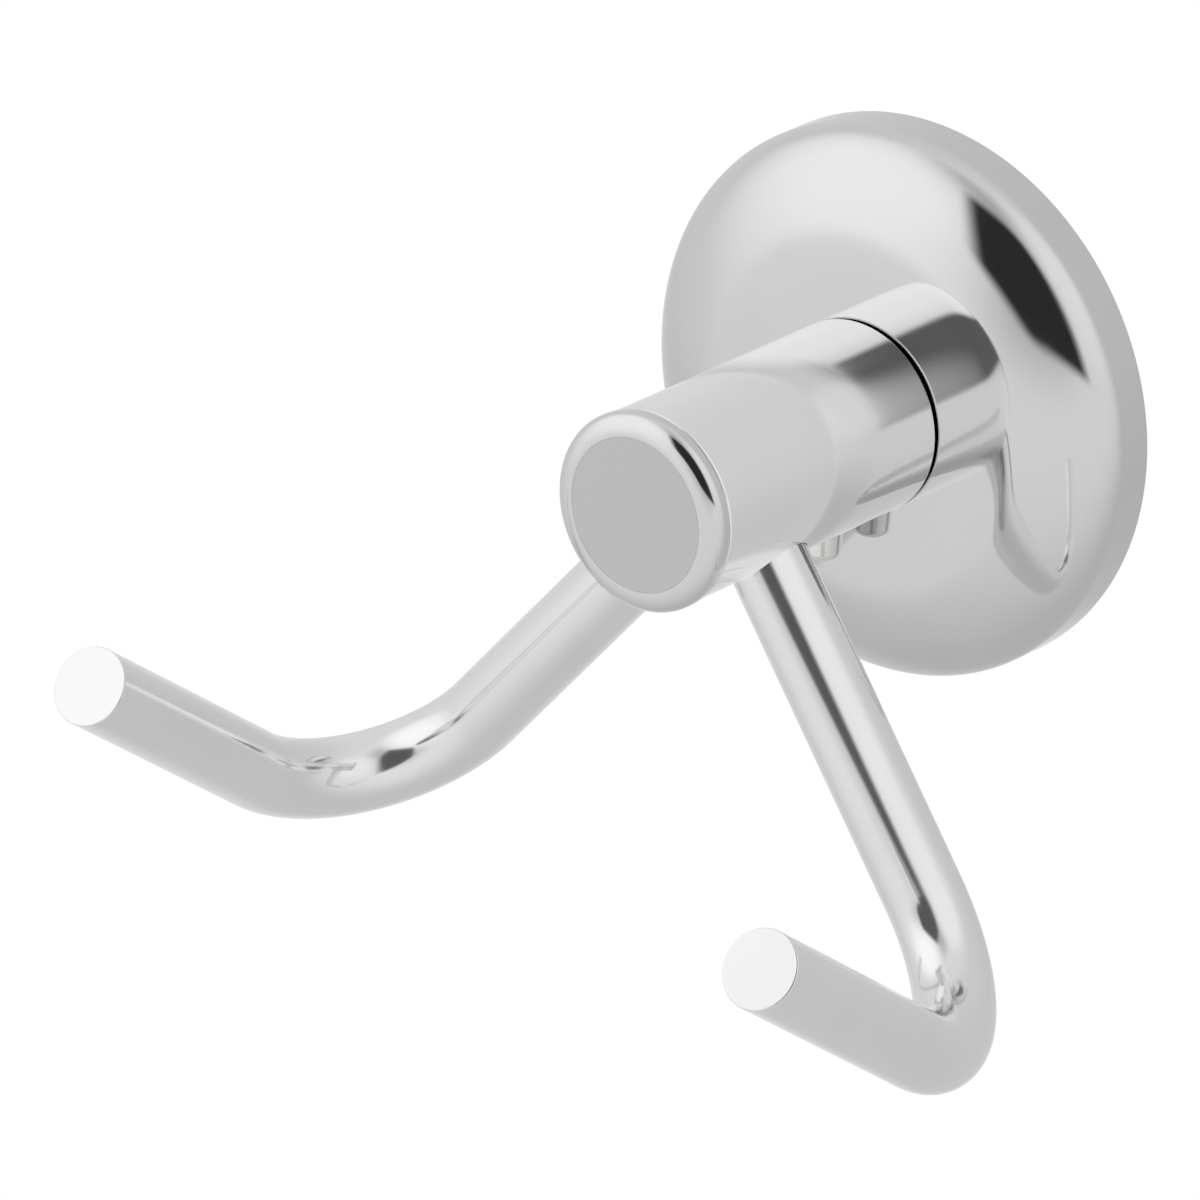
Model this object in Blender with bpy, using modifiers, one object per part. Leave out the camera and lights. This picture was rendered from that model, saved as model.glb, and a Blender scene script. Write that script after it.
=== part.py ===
"""Double robe hook: a domed wall cover, a barrel that slides onto a wall post, and two bent arms.

Metres, +Z up. The wall is the plane Y = 0 and the hook reaches out along -Y. The origin is the centre of
the hook's back, on the wall. A depth below is a distance out from the wall.
"""
import math

import bmesh
import bpy
from mathutils import Matrix, Vector

# Clearances and cuts
FIT_GAP = 0.0003
CUT_OVERRUN = 0.002
WELD_DISTANCE = 0.00001
ROUND_STEPS = 64
SMALL_ROUND_STEPS = 24

# Wall cover: a spun dome with a flat face and a straight rim
COVER_RADIUS = 0.02825
COVER_DEPTH = 0.0096
COVER_RIM_DEPTH = 0.004
COVER_FLAT_RADIUS = 0.0185
COVER_WALL = 0.0008
DOME_POINTS = 14

# Wall plate and the post riveted into it
PLATE_THICKNESS = 0.002
PLATE_SLOT_SPREAD = 0.017
PLATE_SLOT_WIDTH = 0.005
PLATE_SLOT_LENGTH = 0.009
POST_RIVET_RADIUS = 0.003
POST_CHAMFER = 0.0006

# Barrel
BARREL_LENGTH = 0.0321
BARREL_RADIUS = 0.0099
BARREL_EDGE = 0.0003
BARREL_WALL = 0.0041
POST_ENGAGEMENT = 0.0138
BORE_END_ROOM = 0.001

# Seat washer, in a counterbore at the barrel's wall end
WASHER_WIDTH = 0.002
WASHER_THICKNESS = 0.0008

# Set screw under the barrel
SET_SCREW_SETBACK = 0.0037
SET_SCREW_RADIUS = 0.002
SET_SCREW_LENGTH = 0.008
SET_SCREW_CHAMFER = 0.0004
SET_SCREW_KEY = 0.002
SET_SCREW_KEY_DEPTH = 0.0025

# Arms: two bent rods, mirror images of each other
ROD_RADIUS = 0.004
ARM_SETBACK = 0.0201
ARM_SPLAY = math.radians(38.0)
ARM_DROP_LENGTH = 0.067
ARM_TIP_LENGTH = 0.054
ARM_TIP_RISE = math.radians(34.0)
ARM_BEND_RADIUS = 0.014
ARM_TIP_CHAMFER = 0.0004
ARM_SPIGOT_RADIUS = 0.0025
ARM_SPIGOT_LENGTH = 0.003
ARM_SPIGOT_CONE = 0.0003
ARM_WEB = 0.0007
BEND_POINTS = 14
ROD_SIDES_OVER_FOUR = 6

# Screws that lock the arms, reached from the barrel's front under the end cap
LOCK_SCREW_RADIUS = 0.00125

# End cap and the plain disc let into it
CAP_PROUD = 0.00015
CAP_LENGTH = 0.002
CAP_ROUND_WIDTH = 0.0021
CAP_ROUND_DEPTH = 0.0013
CAP_ROUND_POINTS = 8
CAP_SPIGOT_RADIUS = 0.0035
CAP_SPIGOT_LENGTH = 0.006
CAP_LIP = 0.0001
DISC_THICKNESS = 0.0007

# Sizes and places that follow
CAP_RADIUS = BARREL_RADIUS + CAP_PROUD
RECESS_RADIUS = CAP_RADIUS - CAP_ROUND_WIDTH - CAP_LIP
DISC_RADIUS = RECESS_RADIUS - FIT_GAP
BARREL_START = COVER_DEPTH + FIT_GAP
BARREL_END = BARREL_START + BARREL_LENGTH
CAP_START = BARREL_END + FIT_GAP
CAP_FRONT = CAP_START + CAP_LENGTH
ARM_DEPTH = BARREL_START + ARM_SETBACK
POST_END = BARREL_START + POST_ENGAGEMENT
BORE_RADIUS = BARREL_RADIUS - BARREL_WALL
POST_RADIUS = BORE_RADIUS - FIT_GAP
ROD_HOLE_RADIUS = ROD_RADIUS + FIT_GAP
SPIGOT_HOLE_RADIUS = ARM_SPIGOT_RADIUS + FIT_GAP
SPIGOT_HOLE_END = SPIGOT_HOLE_RADIUS / math.tan(ARM_SPLAY) + ARM_WEB
ARM_START = SPIGOT_HOLE_END + FIT_GAP
ROD_HOLE_END = ARM_START + ARM_SPIGOT_LENGTH
ROD_START = ROD_HOLE_END + FIT_GAP


def clear_scene():
    """Leave nothing of an earlier scene behind."""
    for old in list(bpy.data.objects):
        bpy.data.objects.remove(old)


def new_collection(name):
    """A collection linked to the scene."""
    collection = bpy.data.collections.new(name)
    bpy.context.scene.collection.children.link(collection)
    return collection


def new_material(name, color, roughness, metallic):
    """A Principled material with one colour."""
    material = bpy.data.materials.new(name)
    material.use_nodes = True
    shader = material.node_tree.nodes["Principled BSDF"]
    shader.inputs["Base Color"].default_value = (*color, 1.0)
    shader.inputs["Roughness"].default_value = roughness
    shader.inputs["Metallic"].default_value = metallic
    return material


def new_empty(name, location=(0.0, 0.0, 0.0)):
    """An empty that carries the pieces of one moving group."""
    empty = bpy.data.objects.new(name, None)
    empty.location = location
    empty.empty_display_size = COVER_RADIUS
    PARTS.objects.link(empty)
    return empty


def add_piece(name, data, material, parent, place=Matrix.Identity(4)):
    """Link a finished piece, put it in its place in the world and hang it on its group."""
    piece = bpy.data.objects.new(name, data)
    PARTS.objects.link(piece)
    data.materials.append(material)
    piece.parent = parent
    piece.matrix_parent_inverse = Matrix.Translation(parent.location).inverted()
    piece.matrix_basis = place
    return piece


def out_of_wall(depth=0.0, x=0.0, z=0.0):
    """The placing that turns a piece's own +Z into the way out of the wall."""
    return Matrix.Translation((x, -depth, z)) @ Matrix.Rotation(math.pi / 2, 4, "X")


def outline_mesh(name, profile, closed):
    """The edges of a profile of (radius, height) points, to be turned about Z."""
    count = len(profile)
    ends = count if closed else count - 1
    edges = [(i, (i + 1) % count) for i in range(ends)]
    mesh = bpy.data.meshes.new(name)
    mesh.from_pydata([(radius, 0.0, height) for radius, height in profile], edges, [])
    return mesh


def turned(name, profile, material, parent, place, closed=False, steps=ROUND_STEPS):
    """A turned piece. Its profile runs down the outside from the top."""
    piece = add_piece(name, outline_mesh(name, profile, closed), material, parent, place)
    screw = piece.modifiers.new("turn", "SCREW")
    screw.steps = steps
    screw.render_steps = steps
    screw.use_merge_vertices = True
    screw.merge_threshold = WELD_DISTANCE
    screw.use_smooth_shade = True
    return piece


def cutter_object(name, mesh, place):
    """A hidden helper that cuts other pieces."""
    cutter = bpy.data.objects.new(name, mesh)
    CUTTERS.objects.link(cutter)
    cutter.matrix_world = place
    cutter.hide_render = True
    cutter.display_type = "WIRE"
    return cutter


def round_cutter(name, radius, length, place, sides=SMALL_ROUND_STEPS):
    """A cylinder that starts at its place and runs along its own +Z."""
    shape = bmesh.new()
    bmesh.ops.create_cone(shape, cap_ends=True, segments=sides, radius1=radius, radius2=radius, depth=length)
    bmesh.ops.translate(shape, vec=(0.0, 0.0, length / 2), verts=shape.verts)
    mesh = bpy.data.meshes.new(name)
    shape.to_mesh(mesh)
    shape.free()
    return cutter_object(name, mesh, place)


def slot_cutter(name, length, width, depth, place):
    """A slot with round ends, long along its own X, centred on its place."""
    radius = width / 2
    reach = (length - width) / 2
    shape = bmesh.new()
    corners = []
    for step in range(SMALL_ROUND_STEPS):
        angle = math.tau * (step + 0.5) / SMALL_ROUND_STEPS
        middle = math.copysign(reach, math.cos(angle))
        corners.append(shape.verts.new((middle + radius * math.cos(angle), radius * math.sin(angle), -depth / 2)))
    floor = shape.faces.new(corners)
    lifted = bmesh.ops.extrude_face_region(shape, geom=[floor])
    top = [item for item in lifted["geom"] if isinstance(item, bmesh.types.BMVert)]
    bmesh.ops.translate(shape, vec=(0.0, 0.0, depth), verts=top)
    bmesh.ops.recalc_face_normals(shape, faces=shape.faces)
    mesh = bpy.data.meshes.new(name)
    shape.to_mesh(mesh)
    shape.free()
    return cutter_object(name, mesh, place)


def cut(piece, cutter):
    """Take the cutter's shape out of the piece."""
    boolean = piece.modifiers.new(cutter.name, "BOOLEAN")
    boolean.operation = "DIFFERENCE"
    boolean.object = cutter


def arm_direction(side):
    """The way an arm leaves the barrel: down and outwards, in a plane parallel to the wall."""
    return Vector((side * math.sin(ARM_SPLAY), 0.0, -math.cos(ARM_SPLAY)))


def along_arm(side, distance):
    """A placing on an arm's root axis, with its own +Z down the arm."""
    direction = arm_direction(side)
    start = Vector((0.0, -ARM_DEPTH, 0.0)) + direction * distance
    turn = Vector((0.0, 0.0, 1.0)).rotation_difference(direction).to_matrix().to_4x4()
    return Matrix.Translation(start) @ turn


def make_wall_plate(parent):
    """A steel disc that the wall screws hold. The cover's rim fits round its edge."""
    radius = COVER_RADIUS - COVER_WALL - FIT_GAP
    hole = POST_RIVET_RADIUS + FIT_GAP
    profile = [(hole, PLATE_THICKNESS), (radius, PLATE_THICKNESS), (radius, 0.0), (hole, 0.0)]
    plate = turned("wall_plate", profile, STEEL, parent, out_of_wall(), closed=True)
    for side, word in ((-1, "left"), (1, "right")):
        place = out_of_wall(depth=PLATE_THICKNESS / 2, x=side * PLATE_SLOT_SPREAD)
        depth = PLATE_THICKNESS + CUT_OVERRUN
        cut(plate, slot_cutter(f"cut_{word}_slot", PLATE_SLOT_LENGTH, PLATE_SLOT_WIDTH, depth, place))


def make_post(parent):
    """A brass post riveted through the plate."""
    shoulder = PLATE_THICKNESS + FIT_GAP
    profile = [
        (0.0, POST_END),
        (POST_RADIUS - POST_CHAMFER, POST_END),
        (POST_RADIUS, POST_END - POST_CHAMFER),
        (POST_RADIUS, shoulder),
        (POST_RIVET_RADIUS, shoulder),
        (POST_RIVET_RADIUS, 0.0),
        (0.0, 0.0),
    ]
    turned("wall_post", profile, BRASS, parent, out_of_wall(), steps=ROUND_STEPS // 2)


def dome_points():
    """The cover's dome, an arc of an ellipse from the edge of its flat face out and down to the rim."""
    start = math.asin(COVER_FLAT_RADIUS / COVER_RADIUS)
    height = (COVER_DEPTH - COVER_RIM_DEPTH) / math.cos(start)
    points = []
    for step in range(DOME_POINTS + 1):
        angle = start + (math.pi / 2 - start) * step / DOME_POINTS
        points.append((COVER_RADIUS * math.sin(angle), COVER_RIM_DEPTH + height * math.cos(angle)))
    return points


def make_cover(parent):
    """The spun cover: an open dome with a hole for the post, given its wall by Solidify."""
    profile = [(BORE_RADIUS, COVER_DEPTH), *dome_points(), (COVER_RADIUS, 0.0)]
    cover = turned("flange_cover", profile, CHROME, parent, out_of_wall())
    wall = cover.modifiers.new("wall", "SOLIDIFY")
    wall.thickness = COVER_WALL
    wall.offset = -1.0
    wall.use_even_offset = True


def make_washer(parent):
    """A thin nylon ring that keeps the barrel from scratching the cover."""
    outside = BORE_RADIUS + FIT_GAP + WASHER_WIDTH
    inside = BORE_RADIUS + FIT_GAP
    low = BARREL_START
    high = low + WASHER_THICKNESS
    profile = [(inside, high), (outside, high), (outside, low), (inside, low)]
    turned("seat_washer", profile, NYLON, parent, out_of_wall(), closed=True, steps=ROUND_STEPS // 2)


def barrel_side():
    """The barrel's outside from its front to the wall: straight, with both edges broken."""
    return [
        (BARREL_RADIUS - BARREL_EDGE, BARREL_END),
        (BARREL_RADIUS, BARREL_END - BARREL_EDGE),
        (BARREL_RADIUS, BARREL_START + BARREL_EDGE),
        (BARREL_RADIUS - BARREL_EDGE, BARREL_START),
    ]


def make_barrel(parent):
    """The barrel: bored for the post at the wall end and for the cap's spigot in front."""
    front_bore = CAP_SPIGOT_RADIUS + FIT_GAP
    front_floor = BARREL_END - CAP_SPIGOT_LENGTH - FIT_GAP
    rear_floor = POST_END + BORE_END_ROOM
    seat_radius = BORE_RADIUS + WASHER_WIDTH + FIT_GAP * 2
    seat_floor = BARREL_START + WASHER_THICKNESS + FIT_GAP
    profile = [
        (0.0, front_floor),
        (front_bore, front_floor),
        (front_bore, BARREL_END),
        *barrel_side(),
        (seat_radius, BARREL_START),
        (seat_radius, seat_floor),
        (BORE_RADIUS, seat_floor),
        (BORE_RADIUS, rear_floor),
        (0.0, rear_floor),
    ]
    barrel = turned("barrel_body", profile, CHROME, parent, out_of_wall())
    for side, word in ((-1, "left"), (1, "right")):
        reach = BARREL_RADIUS + CUT_OVERRUN - ROD_HOLE_END
        place = along_arm(side, ROD_HOLE_END)
        cut(barrel, round_cutter(f"cut_{word}_rod", ROD_HOLE_RADIUS, reach, place, ROUND_STEPS // 2))
        reach = ROD_HOLE_END + CUT_OVERRUN - SPIGOT_HOLE_END
        place = along_arm(side, SPIGOT_HOLE_END)
        cut(barrel, round_cutter(f"cut_{word}_spigot", SPIGOT_HOLE_RADIUS, reach, place))
        depth = BARREL_END + CUT_OVERRUN - ARM_DEPTH
        place = lock_screw_place(side, ARM_DEPTH)
        cut(barrel, round_cutter(f"cut_{word}_lock", LOCK_SCREW_RADIUS + FIT_GAP, depth, place))
    place = set_screw_place(-BORE_RADIUS + CUT_OVERRUN)
    length = BARREL_RADIUS - BORE_RADIUS + CUT_OVERRUN * 2
    cut(barrel, round_cutter("cut_set_screw", SET_SCREW_RADIUS + FIT_GAP, length, place))


def set_screw_place(z):
    """A placing under the barrel's axis with its own +Z pointing down."""
    depth = BARREL_START + SET_SCREW_SETBACK
    return Matrix.Translation((0.0, -depth, z)) @ Matrix.Rotation(math.pi, 4, "X")


def make_set_screw(parent):
    """A grub screw that bears on the post. Its key socket faces down."""
    low = 0.0
    high = SET_SCREW_LENGTH
    profile = [
        (0.0, high),
        (SET_SCREW_RADIUS - SET_SCREW_CHAMFER, high),
        (SET_SCREW_RADIUS, high - SET_SCREW_CHAMFER),
        (SET_SCREW_RADIUS, low + SET_SCREW_CHAMFER),
        (SET_SCREW_RADIUS - SET_SCREW_CHAMFER, low),
        (0.0, low),
    ]
    place = set_screw_place(-POST_RADIUS - FIT_GAP)
    screw = turned("set_screw", profile, STEEL, parent, place, steps=SMALL_ROUND_STEPS)
    socket = place @ Matrix.Translation((0.0, 0.0, high - SET_SCREW_KEY_DEPTH))
    radius = SET_SCREW_KEY / math.sqrt(3)
    depth = SET_SCREW_KEY_DEPTH + CUT_OVERRUN
    cut(screw, round_cutter("cut_key_socket", radius, depth, socket, sides=6))


def lock_screw_place(side, depth):
    """A placing in the barrel's front, beside an arm's root, with its own +Z out of the wall."""
    centre = arm_direction(side) * (ARM_START + ARM_SPIGOT_LENGTH / 2)
    return out_of_wall(depth, centre.x, centre.z)


def make_lock_screw(name, side, parent):
    """A short grub screw that presses on an arm's spigot inside the barrel."""
    start = ARM_DEPTH + ARM_SPIGOT_RADIUS + FIT_GAP
    length = BARREL_END - FIT_GAP - start
    profile = [(0.0, length), (LOCK_SCREW_RADIUS, length), (LOCK_SCREW_RADIUS, 0.0), (0.0, 0.0)]
    turned(name, profile, STEEL, parent, lock_screw_place(side, start), steps=SMALL_ROUND_STEPS)


def arm_route(side):
    """The middle line of an arm from its root's shoulder: straight, round one bend, forwards and up."""
    down = arm_direction(side)
    rise = Vector((0.0, -math.cos(ARM_TIP_RISE), math.sin(ARM_TIP_RISE)))
    corner = down * ARM_DROP_LENGTH
    turn = down.angle(rise)
    bend_start = corner - down * ARM_BEND_RADIUS * math.tan(turn / 2)
    centre = bend_start + (rise - down * rise.dot(down)).normalized() * ARM_BEND_RADIUS
    axis = down.cross(rise).normalized()
    points = [down * ROD_START]
    for step in range(BEND_POINTS + 1):
        swing = Matrix.Rotation(turn * step / BEND_POINTS, 3, axis)
        points.append(centre + swing @ (bend_start - centre))
    tip = corner + rise * ARM_TIP_LENGTH
    points.append(tip - rise * ARM_TIP_CHAMFER)
    points.append(tip)
    return points


def make_arm(name, side, parent):
    """A bent rod with a thinner spigot at its root and a small chamfer round its cut end."""
    curve = bpy.data.curves.new(name, "CURVE")
    curve.dimensions = "3D"
    curve.bevel_depth = ROD_RADIUS
    curve.bevel_resolution = ROD_SIDES_OVER_FOUR
    curve.use_fill_caps = True
    down = arm_direction(side)
    points = [down * ARM_START, down * (ROD_START - ARM_SPIGOT_CONE), *arm_route(side)]
    spline = curve.splines.new("POLY")
    spline.points.add(len(points) - 1)
    for target, point in zip(spline.points, points):
        target.co = (*point, 1.0)
    for root in (0, 1):
        spline.points[root].radius = ARM_SPIGOT_RADIUS / ROD_RADIUS
    spline.points[-1].radius = 1 - ARM_TIP_CHAMFER / ROD_RADIUS
    add_piece(name, curve, CHROME, parent, Matrix.Translation((0.0, -ARM_DEPTH, 0.0)))


def cap_round_points():
    """The cap's rounded front edge, a quarter of an ellipse from its face out to its side."""
    points = []
    for step in range(CAP_ROUND_POINTS + 1):
        angle = math.pi / 2 * (1 - step / CAP_ROUND_POINTS)
        out = CAP_ROUND_WIDTH * math.cos(angle)
        up = CAP_ROUND_DEPTH * math.sin(angle)
        points.append((CAP_RADIUS - CAP_ROUND_WIDTH + out, CAP_FRONT - CAP_ROUND_DEPTH + up))
    return points


def make_end_cap(parent):
    """The rounded end cap: a recess for the disc in front, a spigot pressed into the barrel behind."""
    recess_floor = CAP_FRONT - DISC_THICKNESS - FIT_GAP
    spigot_end = BARREL_END - CAP_SPIGOT_LENGTH
    profile = [
        (0.0, recess_floor),
        (RECESS_RADIUS, recess_floor),
        (RECESS_RADIUS, CAP_FRONT),
        *cap_round_points(),
        (CAP_RADIUS, CAP_START + BARREL_EDGE),
        (CAP_RADIUS - BARREL_EDGE, CAP_START),
        (CAP_SPIGOT_RADIUS, CAP_START),
        (CAP_SPIGOT_RADIUS, spigot_end),
        (0.0, spigot_end),
    ]
    turned("end_cap", profile, CHROME, parent, out_of_wall())


def make_face_disc(parent):
    """A plain satin disc, flush with the cap's face."""
    low = CAP_FRONT - DISC_THICKNESS
    profile = [(0.0, CAP_FRONT), (DISC_RADIUS, CAP_FRONT), (DISC_RADIUS, low), (0.0, low)]
    turned("face_disc", profile, SATIN, parent, out_of_wall())


clear_scene()
PARTS = new_collection("double_robe_hook")
CUTTERS = new_collection("cutters")
CUTTERS.hide_render = True
CHROME = new_material("polished_chrome", (0.78, 0.79, 0.79), 0.05, 1.0)
STEEL = new_material("bright_steel", (0.55, 0.55, 0.56), 0.3, 1.0)
BRASS = new_material("turned_brass", (0.72, 0.53, 0.23), 0.3, 1.0)
NYLON = new_material("black_nylon", (0.02, 0.02, 0.02), 0.5, 0.0)
SATIN = new_material("satin_grey", (0.5, 0.5, 0.5), 0.45, 0.6)

wall_side = new_empty("wall_side")
hook_head = new_empty("hook_head", (0.0, -BARREL_START, 0.0))
make_wall_plate(wall_side)
make_post(wall_side)
make_cover(wall_side)
make_barrel(hook_head)
make_washer(hook_head)
make_arm("left_arm", -1, hook_head)
make_arm("right_arm", 1, hook_head)
make_lock_screw("left_arm_lock_screw", -1, hook_head)
make_lock_screw("right_arm_lock_screw", 1, hook_head)
make_end_cap(hook_head)
make_face_disc(hook_head)
make_set_screw(hook_head)
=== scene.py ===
import math

import bmesh
import bpy
import numpy as np
from mathutils import Matrix, Vector


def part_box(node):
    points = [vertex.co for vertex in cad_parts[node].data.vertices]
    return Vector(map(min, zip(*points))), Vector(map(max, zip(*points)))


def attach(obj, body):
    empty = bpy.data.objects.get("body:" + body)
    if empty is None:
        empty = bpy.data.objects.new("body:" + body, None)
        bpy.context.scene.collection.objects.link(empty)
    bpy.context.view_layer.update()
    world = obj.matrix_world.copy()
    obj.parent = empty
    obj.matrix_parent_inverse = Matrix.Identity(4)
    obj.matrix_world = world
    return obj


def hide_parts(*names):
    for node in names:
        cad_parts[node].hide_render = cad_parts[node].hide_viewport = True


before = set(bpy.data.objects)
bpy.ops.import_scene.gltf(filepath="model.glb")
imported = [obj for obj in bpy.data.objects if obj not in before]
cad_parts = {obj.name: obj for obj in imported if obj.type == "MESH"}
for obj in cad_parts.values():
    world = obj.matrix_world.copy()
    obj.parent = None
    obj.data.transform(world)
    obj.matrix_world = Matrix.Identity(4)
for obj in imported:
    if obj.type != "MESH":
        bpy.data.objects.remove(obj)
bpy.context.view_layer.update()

# The camera: a long lens a good metre off, to the right of the hook and above it, held a little off level.
# Its place is in metres from the middle of the hook's back, on the wall.
CAMERA_PLACE = Vector((0.5918, -0.8304, 0.4453))
CAMERA_AZIMUTH = math.radians(37.13)
CAMERA_ELEVATION = math.radians(24.79)
CAMERA_ROLL = math.radians(4.37)
CAMERA_LENS = 339.3
SENSOR_WIDTH = 36.0


def camera_turn():
    """Level first, facing the azimuth and elevation; then turned about its own line of sight by the roll."""
    ahead = Vector((
        -math.sin(CAMERA_AZIMUTH) * math.cos(CAMERA_ELEVATION),
        math.cos(CAMERA_AZIMUTH) * math.cos(CAMERA_ELEVATION),
        -math.sin(CAMERA_ELEVATION),
    ))
    level = Vector((math.cos(CAMERA_AZIMUTH), math.sin(CAMERA_AZIMUTH), 0.0))
    right = Matrix.Rotation(-CAMERA_ROLL, 3, ahead) @ level
    return Matrix((right, right.cross(ahead), -ahead)).transposed().to_4x4()


camera_data = bpy.data.cameras.new("camera")
camera_data.sensor_width = SENSOR_WIDTH
camera_data.lens = CAMERA_LENS
camera_data.clip_start = 0.01
camera_data.clip_end = 20.0
camera = bpy.data.objects.new("camera", camera_data)
camera.matrix_world = Matrix.Translation(CAMERA_PLACE) @ camera_turn()
bpy.context.scene.collection.objects.link(camera)
bpy.context.scene.camera = camera


# Cover: a dome spun from thin sheet over a form, polished and chrome plated. It hides the plate on the wall.
# Its face is flat in the middle, and the dome falls away from the flat's soft edge to a straight rim.
MM = 0.001
COVER_LOW, COVER_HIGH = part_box("flange_cover")
COVER_RADIUS = COVER_HIGH[0]
COVER_DEPTH = -COVER_LOW[1]
RIM_DEPTH = 4.0 * MM
RIM_EDGE = 0.25 * MM
FLAT_RADIUS = 18.5 * MM
FLAT_EDGE = 0.25 * MM
SHEET = 0.8 * MM
POST_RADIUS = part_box("wall_post")[1][0]
POST_HOLE = POST_RADIUS + 0.3 * MM
POST_HOLE_EDGE = 0.2 * MM
POLISH_DIP = 3e-6
WELD = 1e-7
CREASE = math.radians(32)


class Wire:
    """One output socket of a shader tree. Python's operators on it add Math nodes."""

    def __init__(self, tree, socket):
        self.tree = tree
        self.socket = socket

    def maths(self, operation, first, second):
        """The Math node for one operation."""
        return self.tree.node("Math", {"operation": operation}, {0: first, 1: second})

    def __add__(self, other):
        return self.maths("ADD", self, other)

    def __rsub__(self, other):
        return self.maths("SUBTRACT", other, self)

    def __mul__(self, other):
        return self.maths("MULTIPLY", self, other)

    def __pow__(self, other):
        return self.maths("POWER", self, other)

    __radd__ = __add__
    __rmul__ = __mul__

    def ramp(self, low, high, start=0.0, end=1.0):
        """Runs smoothly from start to end as this value goes from low to high."""
        sockets = {0: self, 1: low, 2: high, 3: start, 4: end}
        return self.tree.node("MapRange", {"interpolation_type": "SMOOTHSTEP"}, sockets)


class Tree:
    """A shader tree that is written as Python: one method adds any node."""

    def __init__(self, tree):
        self.tree = tree

    def node(self, kind, settings, sockets, output=0):
        """A node of a type, with its settings made first, and then the values or links of its sockets."""
        made = self.tree.nodes.new("ShaderNode" + kind)
        for name, value in settings.items():
            setattr(made, name, value)
        for name, value in sockets.items():
            if isinstance(value, Wire):
                self.tree.links.new(value.socket, made.inputs[name])
            else:
                made.inputs[name].default_value = value
        return Wire(self, made.outputs[output])

    def noise(self, place, scale, detail):
        """Cloudy noise from 0 to 1, with scale cycles to the metre."""
        return self.node("TexNoise", {}, {"Vector": place, "Scale": scale, "Detail": detail})

    def mix_color(self, share, first, second):
        """One colour fading to another."""
        settings = {"data_type": "RGBA"}
        return self.node("Mix", settings, {0: share, 6: (*first, 1.0), 7: (*second, 1.0)}, output=2)


class Finish(Tree):
    """A material, its Principled shader and the place on the object that its patterns read."""

    def __init__(self, name, metallic, coat=0.0):
        self.material = bpy.data.materials.new(name)
        self.material.use_nodes = True
        super().__init__(self.material.node_tree)
        self.shader = self.tree.nodes["Principled BSDF"]
        self.shader.inputs["Metallic"].default_value = metallic
        self.shader.inputs["Coat Weight"].default_value = coat
        self.place = self.node("TexCoord", {}, {}, output="Object")

    def split(self):
        """The place on the object as three numbers."""
        return [self.node("SeparateXYZ", {}, {0: self.place}, output=axis) for axis in range(3)]

    def grain(self, x, y, z, detail):
        """Noise at a place of its own, whose coordinates are already counted in cycles."""
        return self.noise(self.node("CombineXYZ", {}, {0: x, 1: y, 2: z}), 1.0, detail)

    def feed(self, name, value):
        """Gives one of the shader's sockets a value or a link."""
        if isinstance(value, Wire):
            self.tree.links.new(value.socket, self.shader.inputs[name])
        else:
            self.shader.inputs[name].default_value = value

    def relief(self, height, deep):
        """Bumps of a height map from 0 to 1, so many metres deep."""
        self.feed("Normal", self.node("Bump", {}, {"Strength": 1.0, "Distance": deep, "Height": height}))

    def show(self, shader):
        """Puts another shader in the place of the Principled one."""
        self.tree.links.new(shader.socket, self.tree.nodes["Material Output"].inputs["Surface"])


def chrome(name, grey, haze, lines=0.0, film=0.0):
    """Bright chrome plate over polished metal, with soft clouds, marks of wiping, and polishing lines that
    run out from the wall. grey is its mean colour, haze its least roughness, lines how much rougher the
    lines are, and film the share of it that is dulled by a thin white film. Each piece is given its own
    grey, and the difference between the pieces' greys is painted light and shade."""
    finish = Finish(name, metallic=1.0 - film)
    cloud = finish.noise(finish.place, 90.0, detail=3.0)
    wipe = finish.noise(finish.place, 700.0, detail=4.0)
    x, y, z = finish.split()
    drawn = finish.grain(x * 900.0, y * 30.0, z * 900.0, detail=2.0)
    ripple = finish.noise(finish.place, 130.0, detail=1.0)
    scratch = finish.noise(finish.place, 2600.0, detail=2.0)
    dark, light = 0.97 * grey, 1.03 * grey
    finish.feed("Base Color", finish.mix_color(cloud, (dark, dark, 1.01 * dark), (light, light, light)))
    handled = haze + 0.035 * cloud.ramp(0.35, 0.75) + 0.02 * wipe.ramp(0.5, 0.8)
    finish.feed("Roughness", handled + lines * drawn.ramp(0.52, 0.7))
    finish.relief(ripple + 0.02 * scratch, POLISH_DIP)
    return finish.material


def skin(name, grid, closed=False):
    """An object over a grid of points [row, column]. Columns always wrap round, rows only when closed.
    Points that meet at a pole are merged, and every face is turned outwards."""
    rows, columns = grid.shape[:2]
    index = np.arange(rows * columns).reshape(rows, columns)
    if closed:
        first, second = index, np.roll(index, -1, axis=0)
    else:
        first, second = index[:-1], index[1:]
    quads = np.stack([first, np.roll(first, -1, axis=1), np.roll(second, -1, axis=1), second], axis=-1)
    mesh = bpy.data.meshes.new(name)
    mesh.from_pydata(grid.reshape(-1, 3).tolist(), [], quads.reshape(-1, 4).tolist())
    shape = bmesh.new()
    shape.from_mesh(mesh)
    bmesh.ops.remove_doubles(shape, verts=shape.verts, dist=WELD)
    bmesh.ops.recalc_face_normals(shape, faces=shape.faces)
    shape.to_mesh(mesh)
    shape.free()
    mesh.shade_smooth()
    mesh.set_sharp_from_angle(angle=CREASE)
    piece = bpy.data.objects.new(name, mesh)
    bpy.context.scene.collection.objects.link(piece)
    return piece


def turned(profile, sides=256):
    """A profile of (radius, depth) points carried round the hook's axis:
    x is radius times the cosine of the angle, z radius times its sine, and y is minus the depth."""
    radius, depth = np.array(profile).T[:, :, None]
    angle = np.linspace(0, math.tau, sides, endpoint=False)
    return np.stack([radius * np.cos(angle), -depth + 0 * angle, radius * np.sin(angle)], axis=-1)


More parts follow.
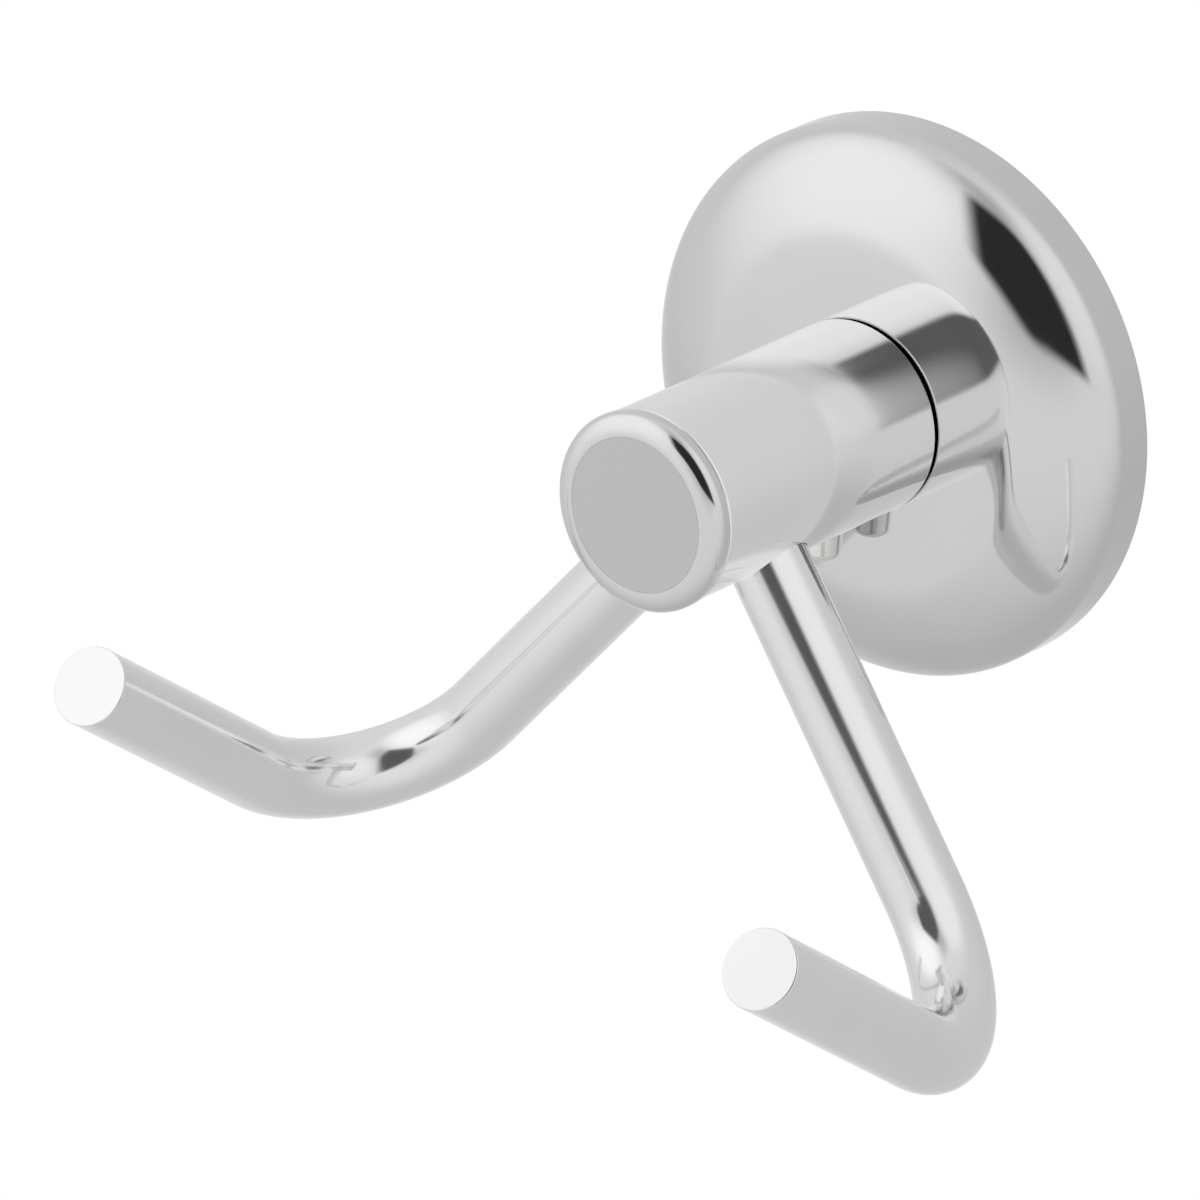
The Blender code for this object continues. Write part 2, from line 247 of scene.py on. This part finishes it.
def eased(corners, ease, steps=6):
    """Rounds each inner corner of a profile: a curve from a point before it to one after, both ease away but
    within 0.45 of either straight. The curve is (1-t)^2 of the first, 2t(1-t) of the corner and t^2 of the
    last. A tenth of the ease further off, one more point keeps the shading of each straight flat."""
    corners = np.array(corners, float)
    ease = np.broadcast_to(ease, len(corners))
    points = [corners[0]]
    t = np.linspace(0, 1, steps)[:, None]
    for before, corner, after, size in zip(corners, corners[1:], corners[2:], ease[1:]):
        back, on = before - corner, after - corner
        back_length, on_length = np.linalg.norm(back), np.linalg.norm(on)
        reach = min(size, 0.45 * back_length, 0.45 * on_length)
        back, on = back / back_length * reach, on / on_length * reach
        start, end = corner + back, corner + on
        curve = (1 - t) ** 2 * start + 2 * t * (1 - t) * corner + t**2 * end
        points += [start + 0.1 * back, *curve, end + 0.1 * on]
    return np.array([*points, corners[-1]])


def dress(piece, material, body, node):
    """Gives a piece its material and body, and hides the solid from the frame that it stands for."""
    piece.data.materials.append(material)
    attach(piece, body)
    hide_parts(node)


def dome(radius, depth, points, fine=3000):
    """Depth by radius is the lesser of the flat face and an ellipse that stands on the rim and meets the
    flat at its edge: half of their sum less the root of their difference squared and FLAT_EDGE squared.
    It is worked out at fine places, and the points are spaced evenly along it."""
    out = np.sin(np.linspace(0, math.pi / 2, fine)) * (radius - POST_HOLE) + POST_HOLE
    height = (depth - RIM_DEPTH) / math.sqrt(1 - (FLAT_RADIUS / radius) ** 2)
    ellipse = RIM_DEPTH + height * np.sqrt(np.maximum(1 - (out / radius) ** 2, 0))
    up = (depth + ellipse - np.hypot(depth - ellipse, FLAT_EDGE)) / 2
    along = np.r_[0, np.cumsum(np.hypot(np.diff(out), np.diff(up)))]
    even = np.linspace(0, along[-1], points)
    return np.stack([np.interp(even, along, out), np.interp(even, along, up)], axis=-1)


def make_cover():
    """The outside, turned over at the wall and at the hole, and back inside at the sheet's thickness."""
    inner_radius = COVER_RADIUS - SHEET
    outer = dome(COVER_RADIUS, COVER_DEPTH, points=180)
    inner = dome(inner_radius, COVER_DEPTH - SHEET, points=50)[::-1]
    hole = eased([inner[-1], outer[0], outer[1]], POST_HOLE_EDGE)
    edge = eased([outer[-1], (COVER_RADIUS, 0.0), (inner_radius, 0.0), inner[0]], RIM_EDGE)
    profile = np.concatenate([hole[1:-1], outer[1:], edge[1:-1], inner])
    cover = skin("polished_cover", turned(profile, sides=288), closed=True)
    dress(cover, SHADED_CHROME, "wall_side", "flange_cover")


# The cover's and the cap's chrome is a darker grey than the same plate on the barrel and the rods: painted
# shade.
SHADED_CHROME = chrome("chrome_plate_painted_shade", grey=0.605, haze=0.05)
make_cover()


# Barrel: straight, turned from brass bar, bored for the post and for the arms, polished and plated all over.
# A grub screw clamps it on the post.
BARREL_LOW, BARREL_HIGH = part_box("barrel_body")
BARREL_RADIUS = BARREL_HIGH[0]
BARREL_START = -BARREL_HIGH[1]
BARREL_END = -BARREL_LOW[1]
BARREL_EDGE = 0.35 * MM
MOUTH_EDGE = 0.45 * MM
MOUTH_RADIUS = 5.0 * MM
POST_END = -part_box("wall_post")[0][1]
BORE_END = POST_END + 1.0 * MM
BORE_EDGE = 0.1 * MM
WASHER_LOW, WASHER_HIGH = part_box("seat_washer")
SEAT_GAP = 0.1 * MM
SEAT_RADIUS = WASHER_HIGH[0] + SEAT_GAP
SEAT_FLOOR = -WASHER_LOW[1] + SEAT_GAP
SEAT_CORNER = 0.05 * MM
SEAT_EDGE = 0.15 * MM
ARM_ROOT = np.array([0.0, -30.0 * MM, 0.0])
ARM_SPLAY = math.radians(38.0)
ROD_RADIUS = 4.0 * MM
ROD_START = 7.8 * MM
ROD_SHOULDER = ROD_START - 0.3 * MM
ROD_HOLE = ROD_RADIUS + 0.08 * MM
ROD_HOLE_LENGTH = 6.0 * MM
SCREW_LOW, SCREW_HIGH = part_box("set_screw")
SCREW_RADIUS = SCREW_HIGH[0]
SCREW_DEPTH = -(SCREW_LOW[1] + SCREW_HIGH[1]) / 2
SCREW_HOLE = SCREW_RADIUS + 0.12 * MM
SCREW_HOLE_LENGTH = 8.0 * MM


def arm_way(side):
    """The direction in which an arm leaves the barrel."""
    return np.array([side * math.sin(ARM_SPLAY), 0.0, -math.cos(ARM_SPLAY)])


def drill(place, way, radius, length, sides=96):
    """A hidden cylinder from a place along a direction, for cutting a hole."""
    way = Vector(way).normalized()
    across = way.orthogonal().normalized()
    other = way.cross(across)
    angle = np.linspace(0, math.tau, sides, endpoint=False)[None, :, None]
    ring = np.cos(angle) * np.array(across) + np.sin(angle) * np.array(other)
    along = np.array([0.0, 0.0, length, length])[:, None, None] * np.array(way)
    size = np.array([0.0, radius, radius, 0.0])[:, None, None]
    return skin("drill", np.array(place) + along + size * ring)


def drilled(piece, drills):
    """Cuts the drills out of a piece, keeps the result as its mesh and clears the drills away."""
    for tool in drills:
        hole = piece.modifiers.new("hole", "BOOLEAN")
        hole.operation = "DIFFERENCE"
        hole.solver = "EXACT"
        hole.object = tool
    graph = bpy.context.evaluated_depsgraph_get()
    piece.data = bpy.data.meshes.new_from_object(piece.evaluated_get(graph))
    piece.modifiers.clear()
    for tool in drills:
        bpy.data.objects.remove(tool)
    piece.data.set_sharp_from_angle(angle=CREASE)


def make_barrel():
    """The bore and the washer's seat at the wall end, the outside, and the mouth, with all edges eased."""
    depth = np.linspace(BARREL_START + 1.2 * BARREL_EDGE, BARREL_END - 1.2 * MOUTH_EDGE, 120)
    side = np.stack([np.full(len(depth), BARREL_RADIUS), depth], axis=-1)
    rear = eased(
        [(POST_HOLE, BORE_END), (POST_HOLE, SEAT_FLOOR), (SEAT_RADIUS, SEAT_FLOOR),
         (SEAT_RADIUS, BARREL_START), (BARREL_RADIUS, BARREL_START), side[0]],
        [0, BORE_EDGE, SEAT_CORNER, SEAT_EDGE, BARREL_EDGE, 0],
    )
    mouth = eased([side[-1], (BARREL_RADIUS, BARREL_END), (MOUTH_RADIUS, BARREL_END)], MOUTH_EDGE)
    profile = np.concatenate([[(0.0, BORE_END)], rear[:-1], side, mouth[1:], [(0.0, BARREL_END)]])
    barrel = skin("polished_barrel", turned(profile, sides=288))
    drills = []
    for way in (arm_way(-1), arm_way(1)):
        drills.append(drill(ARM_ROOT + way * ROD_SHOULDER, way, ROD_HOLE, ROD_HOLE_LENGTH))
    drills.append(drill((0.0, -SCREW_DEPTH, -POST_RADIUS), (0, 0, -1), SCREW_HOLE, SCREW_HOLE_LENGTH))
    drilled(barrel, drills)
    dress(barrel, LIGHTENED_BARREL_CHROME, "hook_head", "barrel_body")


# The barrel's chrome is a lighter grey than the same plate on the cover: painted light.
LIGHTENED_BARREL_CHROME = chrome("chrome_on_barrel_painted_light", grey=0.77, haze=0.03, lines=0.04)
make_barrel()


# End cap: turned, rounded over to its face, plated, and pressed into the barrel's mouth behind a fine groove.
# Its spigot goes 6 mm into the barrel, and its face has a shallow recess for the disc.
CAP_LOW, CAP_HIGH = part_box("end_cap")
CAP_RADIUS = CAP_HIGH[0]
CAP_FRONT = -CAP_LOW[1]
CAP_START = BARREL_END + 0.08 * MM
CAP_EDGE = 0.45 * MM
CAP_BACK = -CAP_HIGH[1]
CAP_ROUND_WIDTH = 2.1 * MM
CAP_ROUND_DEPTH = 1.3 * MM
CAP_SPIGOT_RADIUS = 3.5 * MM
CAP_SPIGOT_CORNER = 0.1 * MM
CAP_SPIGOT_EDGE = 0.3 * MM
DISC_RADIUS = 7.78 * MM
DISC_EDGE = 0.02 * MM
RECESS_RADIUS = DISC_RADIUS + 0.01 * MM
RECESS_FLOOR = CAP_FRONT - 1.0 * MM
RECESS_CORNER = 0.05 * MM


def cap_round(points=48):
    """A quarter of an ellipse from the cap's face to its side."""
    angle = np.linspace(math.pi / 2, 0, points)
    out = CAP_RADIUS - CAP_ROUND_WIDTH * (1 - np.cos(angle))
    up = CAP_FRONT - CAP_ROUND_DEPTH * (1 - np.sin(angle))
    return np.stack([out, up], axis=-1)


def make_cap():
    """The recess, the lip, the rounded edge, the groove's wall and the spigot, in that order."""
    rounded = cap_round()
    front = eased(
        [(0.0, RECESS_FLOOR), (RECESS_RADIUS, RECESS_FLOOR), (RECESS_RADIUS, CAP_FRONT), rounded[0]],
        [0, RECESS_CORNER, DISC_EDGE, 0],
    )
    back = eased(
        [rounded[-1], (CAP_RADIUS, CAP_START), (CAP_SPIGOT_RADIUS, CAP_START),
         (CAP_SPIGOT_RADIUS, CAP_BACK), (0.0, CAP_BACK)],
        [0, CAP_EDGE, CAP_SPIGOT_CORNER, CAP_SPIGOT_EDGE, 0],
    )
    cap = skin("polished_cap", turned(np.concatenate([front[:-1], rounded, back[1:]])))
    # The cap takes the cover's darker chrome grey: painted shade.
    dress(cap, SHADED_CHROME, "hook_head", "end_cap")


make_cap()


# Face disc: a thin aluminium disc glued into the cap's recess, with a fine satin grain and a clear lacquer.
# It would carry a mark, and it is left plain.
DISC_BACK = CAP_FRONT - 0.9 * MM
SATIN_DARK = (0.52, 0.52, 0.52)
SATIN_LIGHT = (0.56, 0.56, 0.56)


def satin():
    """A soft grey whose grain runs across the disc: noise drawn out sideways, in the colour and the gloss."""
    finish = Finish("satin_disc", metallic=0.35, coat=0.15)
    x, _, z = finish.split()
    line = finish.grain(x * 60.0, 0.0, z * 6000.0, detail=4.0)
    finish.feed("Base Color", finish.mix_color(line, SATIN_DARK, SATIN_LIGHT))
    finish.feed("Roughness", 0.42 + 0.12 * line)
    finish.relief(line, 1e-6)
    return finish.material


def make_disc():
    """A flat face with a slightly eased edge."""
    corners = [(0.0, CAP_FRONT), (DISC_RADIUS, CAP_FRONT), (DISC_RADIUS, DISC_BACK), (0.0, DISC_BACK)]
    disc = skin("plain_disc", turned(eased(corners, DISC_EDGE)))
    dress(disc, satin(), "hook_head", "face_disc")


make_disc()


# Arms: 8 mm rod, bent once round a roller, which leaves the bend a little oval, then polished and plated.
# A thinner spigot at the root goes into the barrel, and the cut end is faced off flat with its edge broken.
DROP_LENGTH = 67.0 * MM
TIP_LENGTH = 53.72 * MM
TIP_RISE = math.radians(34.0)
TIP_STUB = 0.88 * MM
TIP_EDGE = 0.15 * MM
BEND_RADIUS = 14.0 * MM
BEND_OVAL = 0.025
SPIGOT_START = 4.6 * MM
SPIGOT_RADIUS = 2.5 * MM


def arm_path(side):
    """Points, directions and bend shares along an arm's middle line: a straight, an arc whose centre is
    square off the straight's end, and a second straight that touches the arc and stops at the stub."""
    down = arm_way(side)
    rise = np.array([0.0, -math.cos(TIP_RISE), math.sin(TIP_RISE)])
    turn = math.acos(down @ rise)
    pull = BEND_RADIUS * math.tan(turn / 2)
    inward = rise - down * (rise @ down)
    inward /= np.linalg.norm(inward)
    centre = ARM_ROOT + down * (DROP_LENGTH - pull) + inward * BEND_RADIUS
    corner = ARM_ROOT + down * DROP_LENGTH
    first = np.linspace(ROD_START, DROP_LENGTH - pull, 60)[:, None]
    swing = np.linspace(0, turn, 120)[1:-1, None]
    last = np.linspace(pull, TIP_LENGTH - TIP_STUB, 50)[:, None]
    arc = centre - inward * BEND_RADIUS * np.cos(swing) + down * BEND_RADIUS * np.sin(swing)
    arc_way = down * np.cos(swing) + inward * np.sin(swing)
    points = np.concatenate([ARM_ROOT + down * first, arc, corner + rise * last])
    ways = np.concatenate([down + 0 * first, arc_way, rise + 0 * last])
    bent = np.concatenate([0 * first, np.sin(swing / turn * math.pi) ** 2, 0 * last])
    return points, ways, bent


def make_arm(name, side, node, sides=112):
    """Rings square to the path. The ring's axes are the bend plane's normal and the normal crossed with
    the path's direction. In the bend the ring is a little flatter across the plane's own direction. The
    spigot and the stub are profiles of (radius, way along) points turned about the path's two ends."""
    points, ways, bent = arm_path(side)
    normal = np.cross(ways[0], ways[-1])
    normal /= np.linalg.norm(normal)
    inner = np.cross(ways, normal)
    angle = np.linspace(0, math.tau, sides, endpoint=False)[None, :, None]
    flat = (1 - BEND_OVAL * bent)[:, None]
    wide = (1 + BEND_OVAL / 2 * bent)[:, None]
    ring = np.cos(angle) * normal * wide + np.sin(angle) * inner[:, None] * flat
    tube = points[:, None] + ROD_RADIUS * ring
    spigot = [(0.0, SPIGOT_START), (SPIGOT_RADIUS, SPIGOT_START), (SPIGOT_RADIUS, ROD_SHOULDER)]
    stub = eased([(ROD_RADIUS, 0.0), (ROD_RADIUS, TIP_STUB), (0.0, TIP_STUB)], TIP_EDGE, steps=8)
    spigot_rows = [ARM_ROOT + ways[0] * along + ring[0] * radius for radius, along in spigot]
    stub_rows = [points[-1] + ways[-1] * along + ring[-1] * radius for radius, along in stub[1:]]
    arm = skin(name, np.concatenate([spigot_rows, tube, stub_rows]))
    dress(arm, LIGHTENED_ROD_CHROME, "hook_head", node)


# The rods' chrome is a lighter grey than the same plate on the cover: painted light.
LIGHTENED_ROD_CHROME = chrome("chrome_on_rod_painted_light", grey=0.73, haze=0.10, film=0.12)
make_arm("polished_left_arm", -1, "left_arm")
make_arm("polished_right_arm", 1, "right_arm")


# Set screw: an M4 grub screw, 8 mm long, that clamps the barrel on the post. Its lower end is plain and
# polished, stands out under the barrel and has a hexagon socket. It slides down when it is loosened.
PITCH = 0.7 * MM
THREAD_DEPTH = 0.43 * MM
PLAIN_END = 4.2 * MM
SCREW_TOP = SCREW_HIGH[2]
SCREW_BOTTOM = SCREW_LOW[2]
SCREW_ROUND = 0.8 * MM
KEY_ACROSS = 2.0 * MM
KEY_FLOOR = SCREW_BOTTOM + 2.5 * MM
KEY_CHAMFER = 0.1 * MM
KEY_CONE = 0.5 * MM
NICKEL_DARK = (0.66, 0.655, 0.64)
NICKEL_LIGHT = (0.72, 0.715, 0.70)


def nickel():
    """Bright nickel plate, a little warmer and rougher than the chrome."""
    finish = Finish("nickel_plate", metallic=1.0)
    cloud = finish.noise(finish.place, 900.0, detail=3.0)
    finish.feed("Base Color", finish.mix_color(cloud, NICKEL_DARK, NICKEL_LIGHT))
    finish.feed("Roughness", 0.10 + 0.08 * cloud)
    finish.relief(cloud, 2e-6)
    return finish.material


def upright(rows, angle, y=0.0):
    """Rows of (radius, height) carried round an upright axis at a y: x is radius times the cosine of the
    angle, y is that y plus radius times its sine, and z is the height."""
    grid = [np.stack([out * np.cos(angle), y + out * np.sin(angle), up + 0 * angle], axis=-1)
            for out, up in rows]
    return np.array(grid)


def make_set_screw(sides=96, steps=420):
    """The thread's radius is the crest less a triangle wave of the height in pitches minus the angle in
    turns, cut flat at its root. It fades out above the plain end, and a quarter circle rounds both ends. The
    socket's radius is half its width across the flats over the cosine of the angle from the nearest flat."""
    angle = np.linspace(0, math.tau, sides, endpoint=False)
    height = np.linspace(SCREW_TOP, SCREW_BOTTOM, steps)[:, None]
    phase = (height / PITCH - angle / math.tau) % 1.0
    groove = np.clip(1.25 - 2.5 * abs(phase - 0.5), 0, 1)
    fade = np.clip((height - SCREW_BOTTOM - PLAIN_END) / PITCH, 0, 1)
    from_end = np.minimum(SCREW_TOP - height, height - SCREW_BOTTOM)
    into = np.clip(SCREW_ROUND - from_end, 0, SCREW_ROUND)
    rounded = SCREW_RADIUS - SCREW_ROUND + np.sqrt(SCREW_ROUND**2 - into**2)
    radius = np.minimum(SCREW_RADIUS - THREAD_DEPTH * fade * groove, rounded)
    sixth = math.tau / 6
    hexagon = KEY_ACROSS / 2 / np.cos((angle + sixth / 2) % sixth - sixth / 2)
    rows = [
        (0 * angle, SCREW_TOP),
        *zip(radius, height[:, 0]),
        (hexagon + KEY_CHAMFER, SCREW_BOTTOM),
        (hexagon, SCREW_BOTTOM + KEY_CHAMFER),
        (hexagon, KEY_FLOOR),
        (0 * angle, KEY_FLOOR + KEY_CONE),
    ]
    screw = skin("grub_screw_m4", upright(rows, angle, -SCREW_DEPTH))
    dress(screw, nickel(), "grub_screw", "set_screw")


make_set_screw()


# Wall plate: stamped from steel sheet and zinc plated, with two slots for the wall screws. Its shape in the
# frame is right, so only its finish is made here.
ZINC_DARK = (0.52, 0.54, 0.57)
ZINC_LIGHT = (0.66, 0.67, 0.68)


def zinc():
    """Bluish zinc: cloudy patches in its colour and gloss, and a rolled grain that runs one way."""
    finish = Finish("zinc_plate", metallic=1.0)
    x, y, z = finish.split()
    rolled = finish.grain(x * 90.0, y * 90.0, z * 2400.0, detail=4.0)
    cloud = finish.noise(finish.place, 120.0, detail=4.0)
    finish.feed("Base Color", finish.mix_color(cloud, ZINC_DARK, ZINC_LIGHT))
    finish.feed("Roughness", 0.26 + 0.16 * cloud + 0.1 * rolled)
    finish.relief(rolled + 0.6 * cloud, 6e-6)
    return finish.material


def refinish(node, material):
    """Gives a solid from the frame a new material."""
    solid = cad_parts[node]
    solid.data.materials.clear()
    solid.data.materials.append(material)


refinish("wall_plate", zinc())


# Post: turned from brass bar and riveted over at the back of the plate. The barrel slides on over it, and
# fine rings from the tool run round it. Its shape in the frame is right too.
BRASS_DARK = (0.66, 0.46, 0.18)
BRASS_LIGHT = (0.80, 0.62, 0.30)


def turned_brass():
    """Brass with tool rings: fine noise along the post, and across its end by distance from the axis."""
    finish = Finish("turned_brass", metallic=1.0)
    x, y, z = finish.split()
    reach = (x * x + z * z) ** 0.5
    rings = finish.grain(reach * 4000.0, y * 4000.0, 0.0, detail=2.0)
    cloud = finish.noise(finish.place, 250.0, detail=3.0)
    finish.feed("Base Color", finish.mix_color(cloud, BRASS_DARK, BRASS_LIGHT))
    finish.feed("Roughness", 0.2 + 0.15 * rings + 0.1 * cloud)
    finish.relief(rings, 4e-6)
    return finish.material


refinish("wall_post", turned_brass())


# Seat washer: a thin ring moulded in black nylon and let into the barrel's wall end. It keeps the barrel off
# the cover's polish. Its shape in the frame is right too.
NYLON_DARK = (0.015, 0.015, 0.016)
NYLON_LIGHT = (0.03, 0.03, 0.032)


def nylon():
    """Black nylon with a fine moulded grain."""
    finish = Finish("black_nylon", metallic=0.0)
    grain = finish.noise(finish.place, 3000.0, detail=3.0)
    finish.feed("Base Color", finish.mix_color(grain, NYLON_DARK, NYLON_LIGHT))
    finish.feed("Roughness", 0.42 + 0.15 * grain)
    finish.relief(grain, 8e-6)
    return finish.material


refinish("seat_washer", nylon())


# Lock screws: two short screws of blackened steel in the barrel, under the cap. They hold the arms' spigots.
# Their shapes in the frame are right too.
STEEL_BLACK = (0.05, 0.05, 0.055)
STEEL_WORN = (0.22, 0.22, 0.22)


def blackened():
    """Oil-blackened steel, worn brighter in places."""
    finish = Finish("blackened_steel", metallic=1.0)
    wear = finish.noise(finish.place, 800.0, detail=4.0)
    finish.feed("Base Color", finish.mix_color(wear.ramp(0.45, 0.75), STEEL_BLACK, STEEL_WORN))
    finish.feed("Roughness", 0.35 + 0.2 * wear)
    return finish.material


for lock_screw in ("left_arm_lock_screw", "right_arm_lock_screw"):
    refinish(lock_screw, blackened())


# Studio: a white void with a pale floor well below the hook. The chrome mirrors a small pale tent round the
# hook, which the camera sees through. It is lit by a large soft light on the left and one above on the right.
# Between them the tent is open, and it is dark there.
WHITE = (1.0, 1.0, 1.0, 1.0)
FLOOR_PAINT = (0.8, 0.8, 0.8, 1.0)
FLOOR_DROP = 1.0
FLOOR_RADIUS = 1.1
FLOOR_THICKNESS = 0.02
TENT_RADIUS = 0.26
TENT = 1.0
# Each patch of light: azimuth (0 is straight out of the wall, 90 is to the right) and elevation of its
# middle, the half-width of its even part and of the soft part round it, all in degrees, and its strength.
# Each is laid over the ones before it.
PATCHES = {
    "beyond the hook": (205, 5, 63, 61, 0.89),
    "beyond and above": (172, 17, 18, 49, 0.77),
    "below": (169, -61, 40, 60, 0.69),
    "round the opening": (-1, 33, 12, 34, 0.56),
    "below on the left": (-122, -37, 9, 36, 0.82),
    "right light": (69, 45, 8, 32, 1.12),
    "left light": (-39, 22, 1, 44, 1.34),
}
# Each straight edge of the opening: the direction that faces into it, and how soft it is, as a sine. Upwards
# the opening ends between two heights, which are sines of the elevation.
OPENING = 0.035
OPENING_EDGES = {
    "left": ((0.985, -0.174, 0.0), 0.06),
    "lower": ((-0.160, 0.037, 0.986), 0.04),
    "lower left": ((0.573, 0.090, 0.815), 0.05),
    "right": ((-0.657, -0.672, -0.341), 0.13),
    "upper right": ((-0.467, -0.707, -0.532), 0.10),
}
OPENING_TOP = (0.66, 0.80)
# Real plate loses less light each time than its colour says, and its haze veils the dark. So what is mirrored
# twice is lit by this many times its own light, plus an even veil. The ray's depth is 1 for what is mirrored
# once and 2 for what is mirrored twice, and the change lies between the two.
MIRRORED_AGAIN = 1.08
VEIL = 0.15
DEPTH_CHANGE = (1.2, 1.8)


def make_floor():
    """A round pale floor. The camera sees it as the same white as the rest, and everything else as it is."""
    angle = np.linspace(0, math.tau, 64, endpoint=False)
    top, bottom = -FLOOR_DROP, -FLOOR_DROP - FLOOR_THICKNESS
    rows = [(0.0, top), (FLOOR_RADIUS, top), (FLOOR_RADIUS, bottom), (0.0, bottom)]
    floor = skin("floor", upright(rows, angle))
    paint = Finish("floor_paint", metallic=0.0)
    paint.feed("Base Color", FLOOR_PAINT)
    paint.feed("Roughness", 0.8)
    seen = paint.node("LightPath", {}, {}, output="Is Camera Ray")
    white = paint.node("Emission", {}, {"Color": WHITE, "Strength": 1.0})
    paint.show(paint.node("MixShader", {}, {0: seen, 1: Wire(paint, paint.shader.outputs[0]), 2: white}))
    floor.data.materials.append(paint.material)


def make_tent():
    """A ball round the hook, hidden from the camera, that glows by the direction of each place on it from the
    middle: the tent's grey, each patch laid over it by the cosine of the angle from the patch's middle, and
    last the opening, which is the product of how far the place is inside each edge."""
    turn = np.linspace(0, math.tau, 96, endpoint=False)
    rise = np.linspace(-math.pi / 2, math.pi / 2, 49)[:, None]
    ways = [np.cos(rise) * np.sin(turn), -np.cos(rise) * np.cos(turn), np.sin(rise) + 0 * turn]
    tent = skin("tent", TENT_RADIUS * np.stack(ways, axis=-1))
    tent.visible_camera = False
    cloth = Finish("tent_cloth", metallic=0.0)
    way = cloth.node("VectorMath", {"operation": "NORMALIZE"}, {0: cloth.place})

    def along(direction):
        """The cosine of the angle between the place and a direction."""
        sockets = {0: way, 1: Vector(direction).normalized()}
        return cloth.node("VectorMath", {"operation": "DOT_PRODUCT"}, sockets, output="Value")

    light = TENT
    for azimuth, elevation, inner, soft, strength in PATCHES.values():
        turn, rise, inner, outer = (math.radians(a) for a in (azimuth, elevation, inner, inner + soft))
        middle = (math.sin(turn) * math.cos(rise), -math.cos(turn) * math.cos(rise), math.sin(rise))
        share = along(middle).ramp(math.cos(outer), math.cos(inner))
        light = light * (1 - share) + strength * share
    inside = along((0, 0, 1)).ramp(*OPENING_TOP, 1.0, 0.0)
    for direction, soft in OPENING_EDGES.values():
        inside = inside * along(direction).ramp(-soft, soft)
    light = light * (1 - inside) + OPENING * inside
    depth = cloth.node("LightPath", {}, {}, output="Ray Depth")
    light = light * depth.ramp(*DEPTH_CHANGE, 1.0, MIRRORED_AGAIN) + depth.ramp(*DEPTH_CHANGE, 0.0, VEIL)
    cloth.show(cloth.node("Emission", {}, {"Color": WHITE, "Strength": light}))
    tent.data.materials.append(cloth.material)


def make_world():
    """White for the camera and for everything else."""
    world = bpy.data.worlds.new("studio")
    world.use_nodes = True
    bpy.context.scene.world = world
    background = world.node_tree.nodes["Background"]
    background.inputs["Color"].default_value = WHITE
    background.inputs["Strength"].default_value = 1.0


make_floor()
make_tent()
make_world()
bpy.context.scene.view_settings.view_transform = "Standard"
